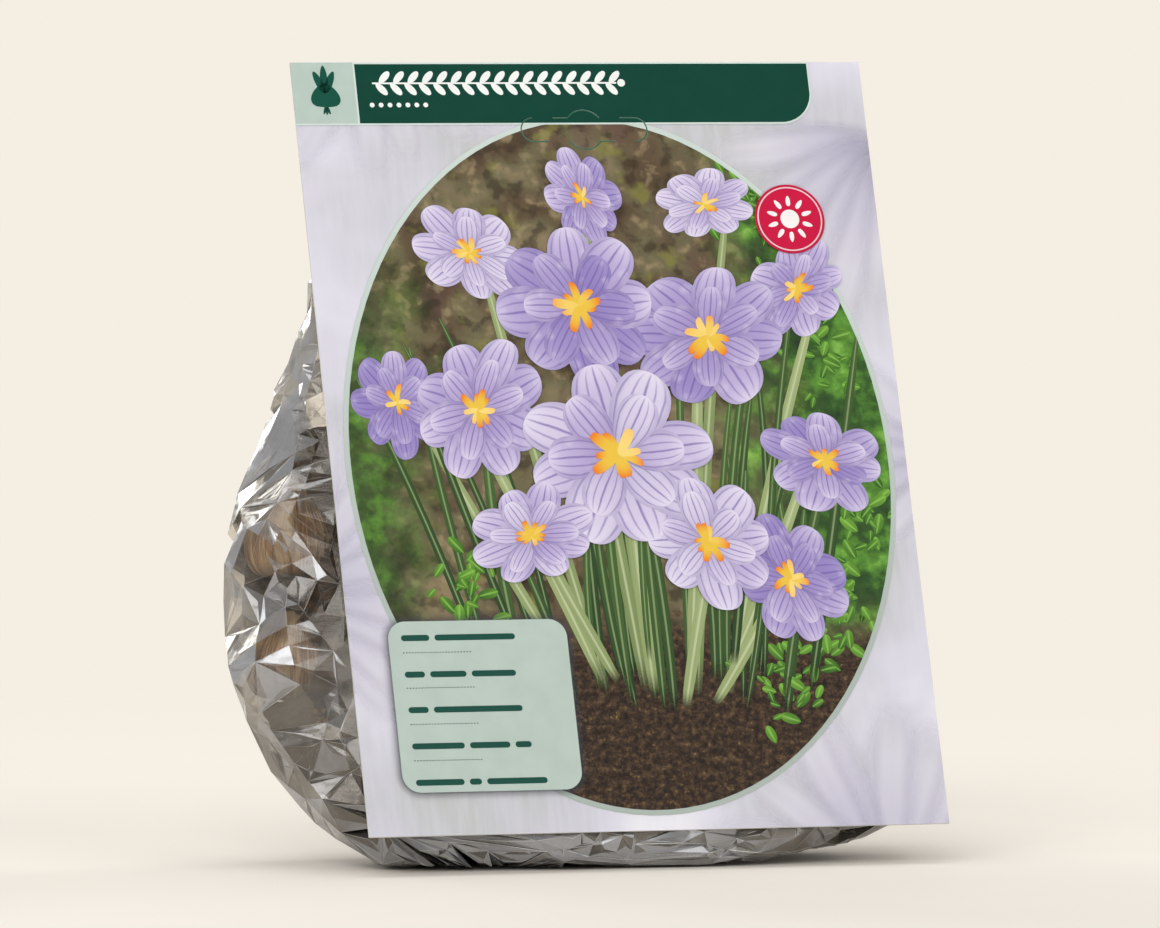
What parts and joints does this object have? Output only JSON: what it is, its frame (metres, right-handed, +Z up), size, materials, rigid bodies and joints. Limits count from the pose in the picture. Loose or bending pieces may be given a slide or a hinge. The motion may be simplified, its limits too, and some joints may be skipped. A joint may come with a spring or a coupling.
{
  "type": "carded bag of flower bulbs",
  "caption": "Leaning printed card with a die-cut hanging slot, and behind it a crumpled clear film bag of crocus corms bedded in peat.",
  "frame": {"origin": "under the middle of the whole pack's box, on the surface it stands on", "axes": "+Z up, the card faces -Y and leans back towards +Y, +X to the right seen from the front"},
  "size_m": [0.1738, 0.076, 0.1919],
  "materials": {
    "card": "coated paperboard, printed, satin",
    "film": "clear crumpled film, glossy",
    "peat": "loose dry peat, rough",
    "corm": "dry fibrous skin, rough",
    "glue": "set hot-melt adhesive, smooth"
  },
  "bodies": {
    "root": {"card": "card", "bag_film": "film", "peat_bed": "peat", "corm_01": "corm", "corm_02": "corm", "corm_03": "corm", "corm_04": "corm", "corm_05": "corm", "corm_06": "corm", "corm_07": "corm", "corm_08": "corm", "corm_09": "corm", "corm_10": "corm", "corm_11": "corm", "corm_12": "corm", "glue_strip_1": "glue", "glue_strip_2": "glue", "glue_strip_3": "glue"}
  },
  "joints": []
}
